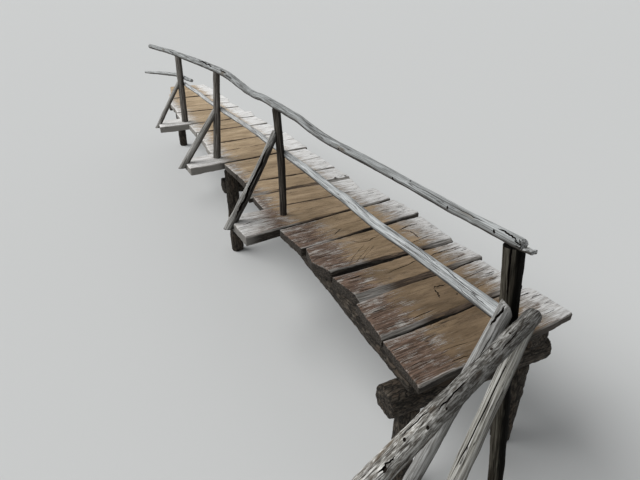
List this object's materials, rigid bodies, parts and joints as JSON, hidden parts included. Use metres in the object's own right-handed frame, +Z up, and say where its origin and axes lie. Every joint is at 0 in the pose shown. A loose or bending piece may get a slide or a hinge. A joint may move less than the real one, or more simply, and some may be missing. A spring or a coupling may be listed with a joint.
{
  "type": "wooden footbridge",
  "caption": "Rustic footbridge of split planks laid across log stringers and legs, with a braced pole handrail along one side.",
  "frame": {"origin": "middle of the bounding box, on the level floor that the legs stand on", "axes": "+Y along the deck from the near end to the far end, +X towards the open side without a handrail, +Z up"},
  "size_m": [2.435, 10.2369, 2.2903],
  "materials": {
    "trodden_plank": "matte",
    "bark_brown_log": "matte",
    "silvered_pole": "matte"
  },
  "bodies": {
    "root": {"deck_plank_01": "trodden_plank", "deck_plank_02": "trodden_plank", "deck_plank_03": "trodden_plank", "deck_plank_04": "trodden_plank", "deck_plank_05": "trodden_plank", "deck_plank_06": "trodden_plank", "deck_plank_07": "trodden_plank", "deck_plank_08": "trodden_plank", "deck_plank_09": "trodden_plank", "deck_plank_10": "trodden_plank", "deck_plank_11": "trodden_plank", "deck_plank_12": "trodden_plank", "deck_plank_13": "trodden_plank", "deck_plank_14": "trodden_plank", "deck_plank_15": "trodden_plank", "deck_plank_16": "trodden_plank", "deck_plank_17": "trodden_plank", "deck_plank_18": "trodden_plank", "deck_plank_19": "trodden_plank", "deck_plank_20": "trodden_plank", "deck_plank_21": "trodden_plank", "deck_plank_22": "trodden_plank", "deck_plank_23": "trodden_plank", "stringer_near_left": "bark_brown_log", "stringer_near_right": "bark_brown_log", "stringer_far_left": "bark_brown_log", "stringer_far_right": "bark_brown_log", "near_sill": "bark_brown_log", "mid_sill": "bark_brown_log", "far_sill": "bark_brown_log", "near_leg_left": "bark_brown_log", "near_leg_right": "bark_brown_log", "mid_leg_left": "bark_brown_log", "mid_leg_right": "bark_brown_log", "far_leg_left": "bark_brown_log", "far_leg_right": "bark_brown_log", "post_far": "silvered_pole", "post_mid": "silvered_pole", "post_near": "silvered_pole", "brace_far": "silvered_pole", "brace_mid": "silvered_pole", "brace_near": "silvered_pole", "top_rail": "silvered_pole", "mid_rail_near": "silvered_pole", "mid_rail_far": "silvered_pole", "far_pole": "silvered_pole", "first_post": "silvered_pole", "first_brace": "silvered_pole", "approach_rail": "silvered_pole", "approach_strut": "silvered_pole", "approach_post": "silvered_pole"}
  },
  "joints": []
}
